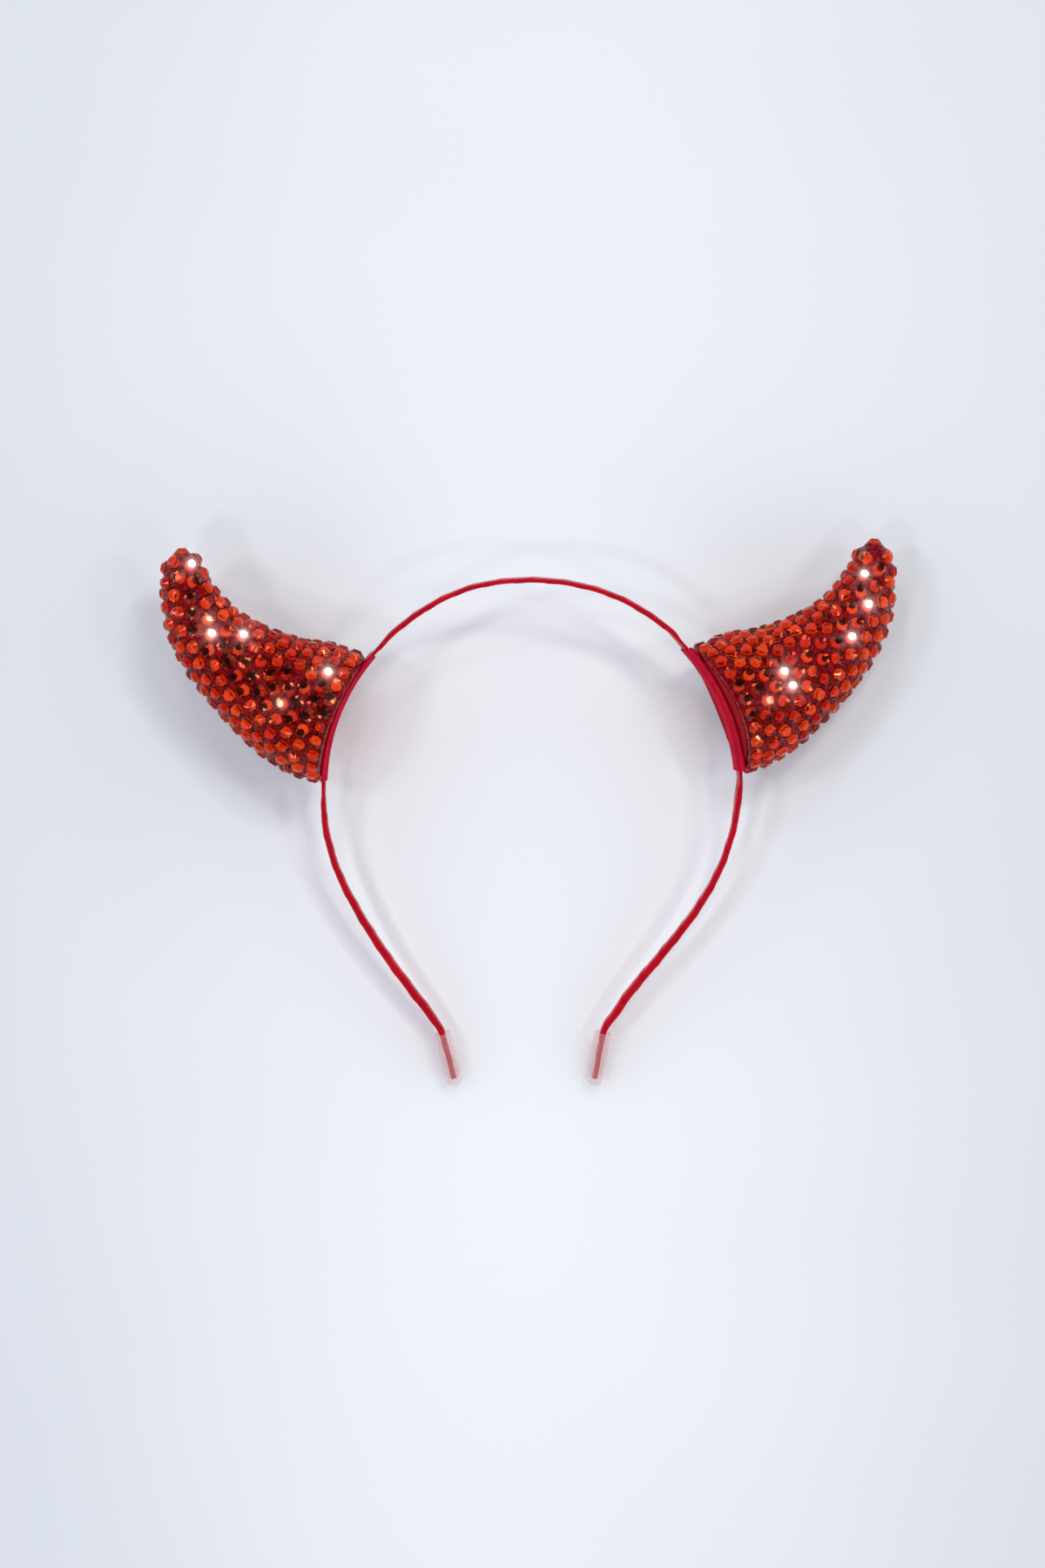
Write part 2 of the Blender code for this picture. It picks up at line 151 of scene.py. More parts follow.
def band_knots():
    """The whole band's line as (distance, point), from the left end to the right end."""
    points = side_line(LEFT)[::-1] + side_line(RIGHT)[1:]
    knots = [(0.0, points[0])]
    for before, after in zip(points, points[1:]):
        knots.append((knots[-1][0] + math.hypot(after.x - before.x, after.y - before.y), after))
    return knots


KNOTS = band_knots()
BAND_LENGTH = KNOTS[-1][0]
LOOK_ASIDE = 0.2 * MM


@functools.lru_cache(maxsize=None)
def on_band(distance):
    """(point, direction) of the band's line at a distance from its left end, in its plane."""
    ahead = through(KNOTS, min(BAND_LENGTH, distance + LOOK_ASIDE))
    behind = through(KNOTS, max(0.0, distance - LOOK_ASIDE))
    point = through(KNOTS, distance)
    return point, Vector((ahead.x - behind.x, ahead.y - behind.y, 0.0)).normalized()


def seat_centre(place):
    """(middle of a horn's seat, turn of its outward direction from +X), in the band's plane."""
    turn = math.radians(90.0 - place.curl * place.at_deg)
    radius = place.seat * ARCH_RADIUS
    return Vector((radius * math.cos(turn), radius * math.sin(turn), 0.0)), turn


@functools.lru_cache(maxsize=None)
def leaned(distance):
    """(pivot, rotation) that turn the band as its horn leans, fading out past the seat."""
    point, _ = on_band(distance)
    for place in (LEFT, RIGHT):
        pivot, turn = seat_centre(place)
        from_crown = math.degrees(math.atan2(place.curl * point.x, point.y))
        past = (abs(from_crown - place.at_deg) - SEAT_HALF_DEG) * math.radians(ARCH_RADIUS)
        if from_crown > 0.0 and past < SEAT_FADE:
            share = 1.0 - ease(past / SEAT_FADE)
            tangent = Vector((-math.sin(turn), math.cos(turn), 0.0))
            return pivot, Matrix.Rotation(math.radians(place.lean_deg) * share, 3, tangent)
    return Vector(), Matrix.Identity(3)


def squared(value, power):
    """A sine or cosine drawn out towards 1, which squares an oval's shoulders."""
    return math.copysign(abs(value) ** power, value)


# Shares of a turn: the climb over the edge below, where the lap starts to end, and how long it takes
LAP_CLIMB = 0.035
LAP_ENDS = 0.18
LAP_FADE = 0.22


def lap(turns):
    """How high the ribbon lies over its own edge, 0 to 1, at a number of turns along the winding."""
    share = turns % 1.0
    return ease(share / LAP_CLIMB) * (1.0 - ease((share - LAP_ENDS) / LAP_FADE))


MERGE_WITHIN = 0.001 * MM


def rolled(name, along, around, place):
    """A grid of along by around faces, rolled up by place(along share, around share) and closed."""
    bpy.ops.object.select_all(action="DESELECT")
    bpy.ops.mesh.primitive_grid_add(x_subdivisions=along, y_subdivisions=around, size=1.0)
    tube = bpy.context.object
    tube.name = tube.data.name = name
    for vertex in tube.data.vertices:
        vertex.co = place(vertex.co.x + 0.5, vertex.co.y + 0.5)
    bpy.ops.object.mode_set(mode="EDIT")
    bpy.ops.mesh.select_all(action="SELECT")
    bpy.ops.mesh.remove_doubles(threshold=MERGE_WITHIN)
    bpy.ops.mesh.select_all(action="DESELECT")
    bpy.ops.mesh.select_mode(type="EDGE")
    bpy.ops.mesh.select_non_manifold()
    bpy.ops.mesh.fill_holes(sides=0)
    bpy.ops.mesh.select_all(action="SELECT")
    bpy.ops.mesh.normals_make_consistent(inside=False)
    bpy.ops.object.mode_set(mode="OBJECT")
    return tube


def laid(piece, seat=Matrix.Identity(4), smooth_deg=40.0):
    """Lays a piece down with the band, shades it and lets it ride on the CAD body."""
    piece.data.transform(LAID @ seat)
    bpy.ops.object.select_all(action="DESELECT")
    piece.select_set(True)
    bpy.context.view_layer.objects.active = piece
    bpy.ops.object.shade_smooth_by_angle(angle=math.radians(smooth_deg))
    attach(piece, "root")
    return piece


def band_place(along, around):
    """A point of the wound ribbon: the strip's rounded section, raised where the ribbon laps."""
    distance = along * BAND_LENGTH
    point, direction = on_band(distance)
    angle = 2.0 * math.pi * around
    raised = WINDING_STEP * lap(distance / WINDING_PITCH + around)
    slack = RIBBON_SLACK * ease((point.z - SEAT_THIN) / (SLACK_FROM - SEAT_THIN))
    half_thick = 0.5 * BAND_THICKNESS * point.z - 0.5 * WINDING_STEP + slack + raised
    half_wide = 0.5 * BAND_WIDTH - 0.5 * WINDING_STEP + raised
    out = half_thick * squared(math.cos(angle), BAND_CORNER)
    wide = half_wide * squared(math.sin(angle), BAND_CORNER)
    flat = Vector((point.x - direction.y * out, point.y + direction.x * out, wide))
    pivot, turn = leaned(distance)
    return pivot + turn @ (flat - pivot)


def linear(colour):
    """An sRGB hex colour as linear red, green, blue and alpha."""
    parts = [int(colour[i : i + 2], 16) / 255.0 for i in (1, 3, 5)]
    return (*[p / 12.92 if p <= 0.04045 else ((p + 0.055) / 1.055) ** 2.4 for p in parts], 1.0)


# A Mix node's two colours and its mixed colour, by their places among its sockets
ONE, OTHER, MIXED = 6, 7, 2


def add_node(material, kind, settings=(), links=()):
    """Adds a node of a kind, with its settings by name and its inputs linked or set by name."""
    made = material.node_tree.nodes.new(kind)
    for name, value in dict(settings).items():
        setattr(made, name, value)
    for name, source in dict(links).items():
        if isinstance(source, bpy.types.NodeSocket):
            material.node_tree.links.new(source, made.inputs[name])
        else:
            made.inputs[name].default_value = source
    return made


def new_material(name, **sockets):
    """A material and its Principled shader, with the shader's constant sockets set by name."""
    material = bpy.data.materials.new(name)
    material.use_nodes = True
    shader = material.node_tree.nodes["Principled BSDF"]
    for socket, value in sockets.items():
        shader.inputs[socket.replace("_", " ")].default_value = value
    return material, shader


def join(material, source, shader, socket):
    """Links a socket into a shader's socket."""
    material.node_tree.links.new(source, shader.inputs[socket])


# Woven polyester satin: long floats across the ribbon give a soft streak and a fine cross grain. The
# threads are 0.3 mm apart here, three times as coarse as real, so that they show.
SATIN_RED = "#BC0A20"
# The deep red is both each turn's random tone and the painted shade under each lapping edge.
SATIN_DEEP_AND_LAP_SHADE = "#8A0416"
SATIN_GLOSS = "#FF5A60"
THREAD_SPACING = 0.3 * MM
# Painted shade under each lapping edge: the colour darkens over a turn's last tenth, by up to this much.
LAP_SHADE_FROM = 0.90
LAP_SHADE = 0.8
TURN_DARK = 0.35
STREAKS_ACROSS = 60.0

satin, satin_shader = new_material(
    "woven_satin_ribbon", Roughness=0.38, IOR=1.5, Specular_Tint=linear(SATIN_GLOSS), Anisotropic=0.4
)
uv = add_node(satin, "ShaderNodeUVMap")
apart = add_node(satin, "ShaderNodeSeparateXYZ", links={"Vector": uv.outputs["UV"]})
along_turns = add_node(
    satin,
    "ShaderNodeMath",
    {"operation": "MULTIPLY"},
    {0: apart.outputs["X"], 1: BAND_LENGTH / WINDING_PITCH},
)
turns = add_node(
    satin, "ShaderNodeMath", {"operation": "ADD"}, {0: along_turns.outputs[0], 1: apart.outputs["Y"]}
)
in_turn = add_node(satin, "ShaderNodeMath", {"operation": "FRACT"}, {0: turns.outputs[0]})
each_turn = add_node(satin, "ShaderNodeMath", {"operation": "FLOOR"}, {0: turns.outputs[0]})
shade = add_node(
    satin, "ShaderNodeTexWhiteNoise", {"noise_dimensions": "1D"}, {"W": each_turn.outputs[0]}
)
# Painted shade where each turn runs under the next turn's lapping edge.
edge = add_node(
    satin,
    "ShaderNodeMapRange",
    {"interpolation_type": "SMOOTHSTEP"},
    {"Value": in_turn.outputs[0], "From Min": LAP_SHADE_FROM, "From Max": 1.0, "To Max": LAP_SHADE},
)
streaks = add_node(
    satin,
    "ShaderNodeTexNoise",
    {"noise_dimensions": "2D"},
    {"Vector": uv.outputs["UV"], "Scale": STREAKS_ACROSS, "Detail": 3.0},
)
deepened = add_node(
    satin, "ShaderNodeMath", {"operation": "MULTIPLY"}, {0: shade.outputs["Value"], 1: TURN_DARK}
)
deep = add_node(
    satin, "ShaderNodeMath", {"operation": "MAXIMUM"}, {0: deepened.outputs[0], 1: edge.outputs[0]}
)
satin_colour = add_node(
    satin,
    "ShaderNodeMix",
    {"data_type": "RGBA"},
    {"Factor": deep.outputs[0], ONE: linear(SATIN_RED), OTHER: linear(SATIN_DEEP_AND_LAP_SHADE)},
)
join(satin, satin_colour.outputs[MIXED], satin_shader, "Base Color")
threads = add_node(
    satin,
    "ShaderNodeMath",
    {"operation": "MULTIPLY"},
    {0: in_turn.outputs[0], 1: 2.0 * math.pi * WINDING_PITCH / THREAD_SPACING},
)
ridges = add_node(satin, "ShaderNodeMath", {"operation": "SINE"}, {0: threads.outputs[0]})
relief = add_node(
    satin,
    "ShaderNodeMath",
    {"operation": "MULTIPLY_ADD"},
    {0: streaks.outputs["Fac"], 1: 2.0, 2: ridges.outputs[0]},
)
satin_bump = add_node(
    satin, "ShaderNodeBump", links={"Height": relief.outputs[0], "Strength": 0.12, "Distance": 0.05 * MM}
)
join(satin, satin_bump.outputs["Normal"], satin_shader, "Normal")

band = rolled("satin_wound_band", round(BAND_LENGTH / BAND_RING_EVERY), BAND_SIDES, band_place)
band.data.materials.append(satin)
laid(band, smooth_deg=50.0)
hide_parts("wrapped_band")


# The end caps
# Dip-moulded clear vinyl sleeves, pushed over the band's ends. The wall is thick enough to look milky
# pink, and the red ribbon shows through it.
CAP_LENGTH = 17.8 * MM
CAP_WALL = 0.8 * MM
CAP_PAST_BAND = 2.7 * MM
CAP_SLACK_THIN = 1.0 * MM
CAP_SLACK_WIDE = 0.6 * MM
CAP_DOME = 3.0 * MM
CAP_LIP = 0.4 * MM
CAP_FLOOR_DOME = 0.6 * MM
CAP_CORNER = 0.8
CAP_SIDES = 40
GAP = 0.3 * MM


def cap_profile():
    """(distance back from the tip, thin and wide half sizes), from the inner floor to the tip."""
    thin = 0.5 * BAND_THICKNESS + CAP_SLACK_THIN
    wide = 0.5 * BAND_WIDTH + CAP_SLACK_WIDE
    floor = CAP_PAST_BAND - GAP
    profile = []
    for turn in (0.5, 0.9, 1.3, 1.57):
        back, share = floor + CAP_FLOOR_DOME * (1 - math.cos(turn)), math.sin(turn)
        profile.append((back, thin * share, wide * share))
    profile += [(floor + (CAP_LENGTH - CAP_LIP - floor) * i / 8, thin, wide) for i in range(1, 9)]
    for i in range(9):
        turn = math.pi * i / 8
        grown = 0.5 * CAP_WALL * (1 - math.cos(turn))
        profile.append((CAP_LENGTH - CAP_LIP + CAP_LIP * math.sin(turn), thin + grown, wide + grown))
    thin, wide = thin + CAP_WALL, wide + CAP_WALL
    profile += [(CAP_LENGTH - (CAP_LENGTH - CAP_DOME) * i / 12, thin, wide) for i in range(1, 13)]
    for i in range(1, 12):
        turn = 0.5 * math.pi * i / 12
        profile.append((CAP_DOME * (1 - math.sin(turn)), thin * math.cos(turn), wide * math.cos(turn)))
    return profile


# Plasticised vinyl: clear in itself, but milky by its thickness and its slightly rough mould skin, and
# densest where the wall is seen edge on. The mould's grain is about a millimetre.
VINYL_PINK = "#F2D2D0"
CLEAREST = 0.10
DENSEST = 0.5
MOULD_GRAINS_A_METRE = 900.0

vinyl, vinyl_shader = new_material(
    "moulded_clear_vinyl", Base_Color=linear(VINYL_PINK), Roughness=0.18, IOR=1.53, Coat_Weight=0.3
)
facing = add_node(vinyl, "ShaderNodeLayerWeight", links={"Blend": 0.35})
milky = add_node(
    vinyl,
    "ShaderNodeMapRange",
    links={"Value": facing.outputs["Facing"], "From Max": 0.9, "To Min": CLEAREST, "To Max": DENSEST},
)
join(vinyl, milky.outputs["Result"], vinyl_shader, "Alpha")
vinyl_spots = add_node(vinyl, "ShaderNodeTexCoord")
mould_skin = add_node(
    vinyl,
    "ShaderNodeTexNoise",
    links={"Vector": vinyl_spots.outputs["Object"], "Scale": MOULD_GRAINS_A_METRE, "Detail": 2.0},
)
vinyl_bump = add_node(
    vinyl,
    "ShaderNodeBump",
    links={"Height": mould_skin.outputs["Fac"], "Strength": 0.04, "Distance": 0.05 * MM},
)
join(vinyl, vinyl_bump.outputs["Normal"], vinyl_shader, "Normal")

CAP_PROFILE = cap_profile()
for place in (LEFT, RIGHT):
    end, along_end = on_band(0.0 if place is LEFT else BAND_LENGTH)
    outward = along_end if place is RIGHT else -along_end
    across = Vector((-outward.y, outward.x, 0.0))
    tip = Vector((end.x, end.y, 0.0)) + outward * CAP_PAST_BAND

    def cap_place(along, around):
        """A point of the sleeve, inside and out."""
        back, thin, wide = CAP_PROFILE[round(along * (len(CAP_PROFILE) - 1))]
        angle = 2.0 * math.pi * around
        flat = across * thin * squared(math.cos(angle), CAP_CORNER)
        return tip - outward * back + flat + Vector((0.0, 0.0, wide * squared(math.sin(angle), CAP_CORNER)))

    cap = rolled("vinyl_cap_" + place.side, len(CAP_PROFILE) - 1, CAP_SIDES, cap_place)
    cap.data.materials.append(vinyl)
    laid(cap)
    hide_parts("end_cap_" + place.side)


# The horns
# A light foam core, brushed all over with crimson glue. The glue dries glossy, rises in a ring round
# every stone and leaves a rounded bare lip at the base.
PAD_THICKNESS = 1.0 * MM
PAD_INNER = 0.5 * BAND_THICKNESS * SEAT_THIN + GAP
PAD_OUTER = PAD_INNER + PAD_THICKNESS
POCKET_FLOOR = PAD_OUTER + GAP
HORN_BASE = PAD_INNER
HORN_LENGTH = 77.2 * MM
HORN_RADIUS = 21.4 * MM
HORN_DEPTH = 19.5 * MM
BASE_BLEND = 12.0 * MM
CROWN_FLARE = 0.7 * MM
CROWN_FLARE_SHARE = 0.28
FLATTER_BY = 1.1
RIM_ROUND = 1.0 * MM
RIM_WALL = 2.0 * MM
RIM_CHAMFER = 0.3 * MM
RIM_STEPS = 6
LINE_STEPS = 60
SWING_BY = 5.0
SKIN_RINGS = 190
SKIN_SIDES = 220

HornRow = namedtuple("HornRow", "along turn_deg width")
HORN_ROWS = (
    HornRow(0.00, -13.0, 1.000),
    HornRow(0.10, -3.0, 0.975),
    HornRow(0.18, 5.5, 0.925),
    HornRow(0.34, 13.0, 0.795),
    HornRow(0.49, 20.5, 0.670),
    HornRow(0.62, 32.0, 0.562),
    HornRow(0.74, 46.0, 0.462),
    HornRow(0.84, 56.0, 0.355),
    HornRow(0.92, 63.0, 0.272),
    HornRow(0.97, 66.0, 0.200),
    HornRow(1.00, 67.0, 0.085),
)
HORN_KNOTS = [(row.along, Vector((row.turn_deg, row.width, 0.0))) for row in HORN_ROWS]


def seat_matrix(place):
    """From a seat's frame to the band's plane. A seat has +X out of the arch and +Z to the viewer."""
    pivot, turn = seat_centre(place)
    lean = Euler((0.0, math.radians(place.lean_deg), turn)).to_matrix().to_4x4()
    return Matrix.Translation(pivot) @ lean


def horn_line(place):
    """The horn's centre line as (share along, (x, y, turn)), by walking along it as it turns."""
    at = Vector((HORN_BASE, 0.0, 0.0))
    line = [(0.0, at)]
    step = HORN_LENGTH / LINE_STEPS
    for i in range(LINE_STEPS):
        swing = place.swing_deg * ease(i / LINE_STEPS * SWING_BY)
        turn = math.radians(through(HORN_KNOTS, (i + 0.5) / LINE_STEPS).x + swing)
        at = at + Vector((math.cos(turn) * step, math.sin(turn) * step, 0.0))
        line.append(((i + 1) / LINE_STEPS, Vector((at.x, at.y, turn))))
    line[0][1].z = line[1][1].z
    return line


HORN_LINES = {place: horn_line(place) for place in (LEFT, RIGHT)}


@functools.lru_cache(maxsize=None)
def horn_station(place, along):
    """(centre and turn, width share) of the horn at a share of its length."""
    return through(HORN_LINES[place], along), through(HORN_KNOTS, along).y


def horn_point(place, along, angle, width_share=1.0):
    """A point of the horn's skin in its seat's frame. angle 0 is the side that curls to the crown."""
    centre, width = horn_station(place, along)
    across = HORN_RADIUS * width * width_share * math.cos(angle)
    flatter = math.sin(math.pi * min(1.0, along * FLATTER_BY))
    across += place.flatter * flatter * 0.5 * (1.0 - math.cos(angle))
    flare = math.sin(math.pi * min(1.0, along / CROWN_FLARE_SHARE)) * 0.5 * (1.0 + math.cos(angle))
    across += CROWN_FLARE * flare
    x = centre.x - math.sin(centre.z) * across
    y = centre.y + math.cos(centre.z) * across
    z = HORN_DEPTH * width * width_share * math.sin(angle)
    seat = place.seat * ARCH_RADIUS
    on_arch = math.sqrt(max(0.0, (seat + HORN_BASE) ** 2 - y**2)) - seat + along * HORN_LENGTH
    x = on_arch + (x - on_arch) * ease(along * HORN_LENGTH / BASE_BLEND)
    return Vector((x, place.curl * y, z))


def base_point(place, out, share, angle):
    """A point under the horn, out from the band's line, on the oval that is share of its base."""
    y = share * HORN_RADIUS * math.cos(angle)
    seat = place.seat * ARCH_RADIUS
    x = math.sqrt((seat + out) ** 2 - y**2) - seat
    return Vector((x, place.curl * y, share * HORN_DEPTH * math.sin(angle)))


# The steps along and round the horn over which the skin's slope is taken
NEAR_ALONG = 0.004
NEAR_ROUND = 0.02


def skin_frame(place, along, angle):
    """A matrix on the skin, with +Z out of it and +X round the horn."""
    farther = horn_point(place, min(1.0, along + NEAR_ALONG), angle)
    ahead = farther - horn_point(place, max(0.0, along - NEAR_ALONG), angle)
    beside = horn_point(place, along, angle + NEAR_ROUND) - horn_point(place, along, angle - NEAR_ROUND)
    normal = (beside.cross(ahead) * place.curl).normalized()
    beside = beside.normalized()
    facing = Matrix((beside, normal.cross(beside), normal)).transposed().to_4x4()
    return Matrix.Translation(horn_point(place, along, angle)) @ facing


# Where the stones lie
# They are set by hand, one against the next, from the bare lip up to the one that closes the tip. On
# the outside of the curl the maker left them a little further apart.
STONE_DIAMETER = 4.95 * MM
STONE_PITCH = 4.80 * MM
WIDER_OUTSIDE = 0.35 * MM
FIRST_RING = 3.3 * MM
FIRST_RING_SIDES = 2.4 * MM
STONE_SUNK = 0.15 * MM
STONE_ASKEW_DEG = 3.0
STONE_SIZES = (0.98, 1.02)
FULL_TURN = 6.28
HAND_SEEDS = {LEFT: 23, RIGHT: 29}
TIP_ALONG = 0.975
TIP_CLOSER = 1.15
TIP_SUNK = 0.5 * MM
PLACES_EVERY = 0.45 * MM

# How the stones are evened out: the rounds, the spacing aimed at as a share of the pitch, how much of a
# push is taken, and the most that a stone moves in a round, as a share of the length and in radians
SETTLE_ROUNDS = 12
SETTLE_REACH = 1.14
SETTLE_PUSH = 0.25
SETTLE_MOST_ALONG = 0.006
SETTLE_MOST_ROUND = 0.08

# The key lamp's and the camera's places in metres, and where a few stones mirror that lamp in the
# photograph, in millimetres on the table
LAMP_AT = Vector((0.506, 0.723, 1.214))
EYE_AT = Vector((-0.002, 0.010, 1.420))
GLINTS = {
    LEFT: ((-107.2, 80.9), (-107.8, 54.9), (-91.8, 55.4), (-63.0, 47.0)),
    RIGHT: ((108.9, 78.7), (110.3, 65.2), (102.2, 54.0), (82.9, 46.2), (84.8, 41.2)),
}
GLINT_TURN_DEG = 24.0


def pitch_at(angle):
    """How far apart two stones are set at an angle round the horn."""
    return STONE_PITCH + WIDER_OUTSIDE * 0.5 * (1.0 - math.cos(angle))


def girth_at(place, along):
    """How far it is round the horn at a share of its length."""
    return math.pi * (HORN_RADIUS + HORN_DEPTH) * horn_station(place, along)[1]


def first_ring(place):
    """(share along, angle) of the stones next to the lip, which is wider in front and behind."""
    first = FIRST_RING_SIDES / HORN_LENGTH
    ring = round(girth_at(place, first) / (STONE_PITCH + 0.5 * WIDER_OUTSIDE))
    turns = [2 * math.pi * i / ring for i in range(ring)]
    deeper = (FIRST_RING - FIRST_RING_SIDES) / HORN_LENGTH
    return [(first + deeper * math.sin(turn) ** 2, turn) for turn in turns]


def stone_places(place):
    """(share along, angle) of every stone of one horn but the one on its tip."""
    spots = first_ring(place)
    fixed = len(spots)
    first = FIRST_RING_SIDES / HORN_LENGTH
    free = []
    rows = round(HORN_LENGTH * (TIP_ALONG - first) / PLACES_EVERY)
    for row in range(1, rows + 1):
        along = first + (TIP_ALONG - first) * row / rows
        sides = max(8, round(girth_at(place, along) / PLACES_EVERY))
        free += [(along, 2 * math.pi * (i + 0.5 * (row % 2)) / sides) for i in range(sides)]
    points = np.array([horn_point(place, *spot) for spot in free])
    pitches = np.array([pitch_at(angle) for _, angle in free])
    tip = horn_point(place, 1.0, 0.0, 0.0)
    room = np.linalg.norm(points - np.array(tip), axis=1) * TIP_CLOSER
    for spot in spots:
        room = np.minimum(room, np.linalg.norm(points - np.array(horn_point(place, *spot)), axis=1))
    while True:
        fits = np.flatnonzero(room >= pitches)
        if not len(fits):
            break
        spots.append(free[fits[0]])
        room = np.minimum(room, np.linalg.norm(points - points[fits[0]], axis=1))
    settle(place, spots, fixed, tip)
    return spots


def settle(place, spots, fixed, tip):
    """Evens out the gaps, by pushing each stone but the first ring's off those that are too near."""
    for k, spot in enumerate(spots):
        spots[k] = list(spot)
    for _ in range(SETTLE_ROUNDS):
        at = [horn_point(place, *spot) for spot in spots] + [tip]
        tree = kdtree.KDTree(len(at))
        for i, point in enumerate(at):
            tree.insert(point, i)
        tree.balance()
        for k in range(fixed, len(spots)):
            spot = spots[k]
            reach = pitch_at(spot[1]) * SETTLE_REACH
            push = Vector()
            for other, j, distance in tree.find_range(at[k], reach):
                if j != k and distance > 0.0:
                    push += (at[k] - other) / distance * (reach - distance)
            push *= SETTLE_PUSH
            ahead = (horn_point(place, min(1.0, spot[0] + NEAR_ALONG), spot[1]) - at[k]) / NEAR_ALONG
            beside = (horn_point(place, spot[0], spot[1] + NEAR_ROUND) - at[k]) / NEAR_ROUND
            for i, way, most in ((0, ahead, SETTLE_MOST_ALONG), (1, beside, SETTLE_MOST_ROUND)):
                spot[i] += max(-most, min(most, push.dot(way) / max(way.length_squared, 1e-9)))
            spot[0] = min(TIP_ALONG, spot[0])


STONE_SPOTS = {place: stone_places(place) for place in (LEFT, RIGHT)}


def stone_frames(place):
    """Each stone's matrix in its seat's frame: set by hand, so turned at random and a little askew."""
    chance = random.Random(HAND_SEEDS[place])
    frames = []
    for along, angle in STONE_SPOTS[place]:
        here = skin_frame(place, along, angle)
        tipped = [math.radians(chance.gauss(0.0, STONE_ASKEW_DEG)) for _ in range(2)]
        askew = Euler(tipped + [chance.uniform(0, FULL_TURN)])
        sunk = Matrix.Translation((0.0, 0.0, -STONE_SUNK)) @ askew.to_matrix().to_4x4()
        frames.append(here @ sunk @ Matrix.Scale(chance.uniform(*STONE_SIZES), 4))
    turn = horn_station(place, 1.0)[0].z
    ahead = Vector((math.cos(turn), place.curl * math.sin(turn), 0.0))
    tip = Matrix.Translation(horn_point(place, 1.0, 0.0, 0.0) - ahead * TIP_SUNK)
    frames.append(tip @ ahead.to_track_quat("Z", "Y").to_matrix().to_4x4())
    turn_to_lamp(place, frames)
    return frames


def turn_to_lamp(place, frames):
    """Turns the stones nearest to the photograph's glints so that their tables mirror the key lamp."""
    to_table = LAID @ seat_matrix(place)
    turned = set()
    for glint in GLINTS[place]:
        near = []
        for i, matrix in enumerate(frames):
            at = to_table @ matrix.translation
            halfway = ((LAMP_AT - at).normalized() + (EYE_AT - at).normalized()).normalized()
            wanted = (to_table.to_3x3().inverted() @ halfway).normalized()
            facing = (matrix.to_3x3() @ Vector((0.0, 0.0, 1.0))).normalized()
            if i not in turned and facing.angle(wanted) < math.radians(GLINT_TURN_DEG):
                near.append(((at.xy - Vector(glint) * MM).length, i, facing.rotation_difference(wanted)))
        _, i, turn = min(near, key=lambda found: found[0])
        turned.add(i)
        at = Matrix.Translation(frames[i].translation)
        frames[i] = at @ turn.to_matrix().to_4x4() @ frames[i].to_3x3().to_4x4()


STONE_FRAMES = {place: stone_frames(place) for place in (LEFT, RIGHT)}


def skin_rings(place):
    """A list of functions of the angle, one for each ring of the horn's skin, from the pocket's floor."""
    pocket = 1.0 - RIM_WALL / HORN_RADIUS
    under = functools.partial(base_point, place)
    rings = [functools.partial(under, POCKET_FLOOR, pocket * share) for share in (0.3, 0.6, 0.85, 1.0)]
    rings.append(functools.partial(under, HORN_BASE + RIM_CHAMFER, pocket))
    rings.append(functools.partial(under, HORN_BASE, pocket + RIM_CHAMFER / HORN_RADIUS))
    for i in range(RIM_STEPS + 1):
        turn = 0.5 * math.pi * i / RIM_STEPS
        share = 1.0 - RIM_ROUND / HORN_RADIUS * (1.0 - math.sin(turn))
        along = RIM_ROUND * (1.0 - math.cos(turn)) / HORN_LENGTH
        rings.append(lambda angle, a=along, s=share: horn_point(place, a, angle, s))
    start = RIM_ROUND / HORN_LENGTH
    for i in range(1, SKIN_RINGS + 1):
        along = start + (1.0 - start) * i / SKIN_RINGS
        rings.append(lambda angle, a=along: horn_point(place, a, angle))
    rings.append(lambda angle: horn_point(place, 1.0, angle, 0.5))
    return rings


# A stone's back stands just over the flat seat it is pressed into. The glue is squeezed up round its edge,
# fades within a millimetre and lies a little lumpy.
BACK_HEIGHT = 0.20 * MM
SEAT_DROP = 0.06 * MM
SEAT_EDGE = 0.05 * MM
SEAT_DEEPEST = 2.5 * MM
GLUE_RISE = 0.55 * MM
GLUE_REACH = 0.75 * MM
GLUE_LUMPS = 2.2 * MM
GLUE_LUMPY = 0.5
GLUE_SLUMP = 0.3


def brush_glue(skin, place):
    """Flattens the skin under each stone and lets the glue rise round it."""
    frames = STONE_FRAMES[place]
    inverses = [matrix.inverted() for matrix in frames]
    tree = kdtree.KDTree(len(frames))
    for i, matrix in enumerate(frames):
        tree.insert(matrix.translation, i)
    tree.balance()
    radius = 0.5 * STONE_DIAMETER
    for vertex in skin.data.vertices:
        point = vertex.co.copy()
        wave = noise.noise(point / GLUE_LUMPS)
        rise = Vector()
        for _, i, distance in tree.find_n(point, 3):
            if distance > radius + 3.0 * GLUE_REACH:
                continue
            local = inverses[i] @ point
            off = math.hypot(local.x, local.y)
            normal = frames[i].to_3x3() @ Vector((0.0, 0.0, 1.0))
            if off < radius + SEAT_EDGE:
                if abs(local.z) < SEAT_DEEPEST:
                    local.z = BACK_HEIGHT - SEAT_DROP
                    point = frames[i] @ local
                    rise = Vector()
                    break
            else:
                past = (off - radius) / GLUE_REACH
                height = GLUE_RISE * math.exp(-past * past) * (1.0 + GLUE_LUMPY * wave)
                height -= max(0.0, local.z) * GLUE_SLUMP
                if height > rise.length:
                    rise = normal * height
        vertex.co = point + rise


# Acrylic glue tinted crimson, brushed on thick: a deep wet gloss over brush marks a millimetre apart. The
# same marks mottle its colour from crimson to dark: partly the glue's depth, partly a painted glow of light
# thrown through the stones.
GLUE_CRIMSON = "#90010B"
GLUE_DARK = "#340005"
GLUE_GLOSS = "#FF4058"
BRUSH_MARKS = 1.1 * MM

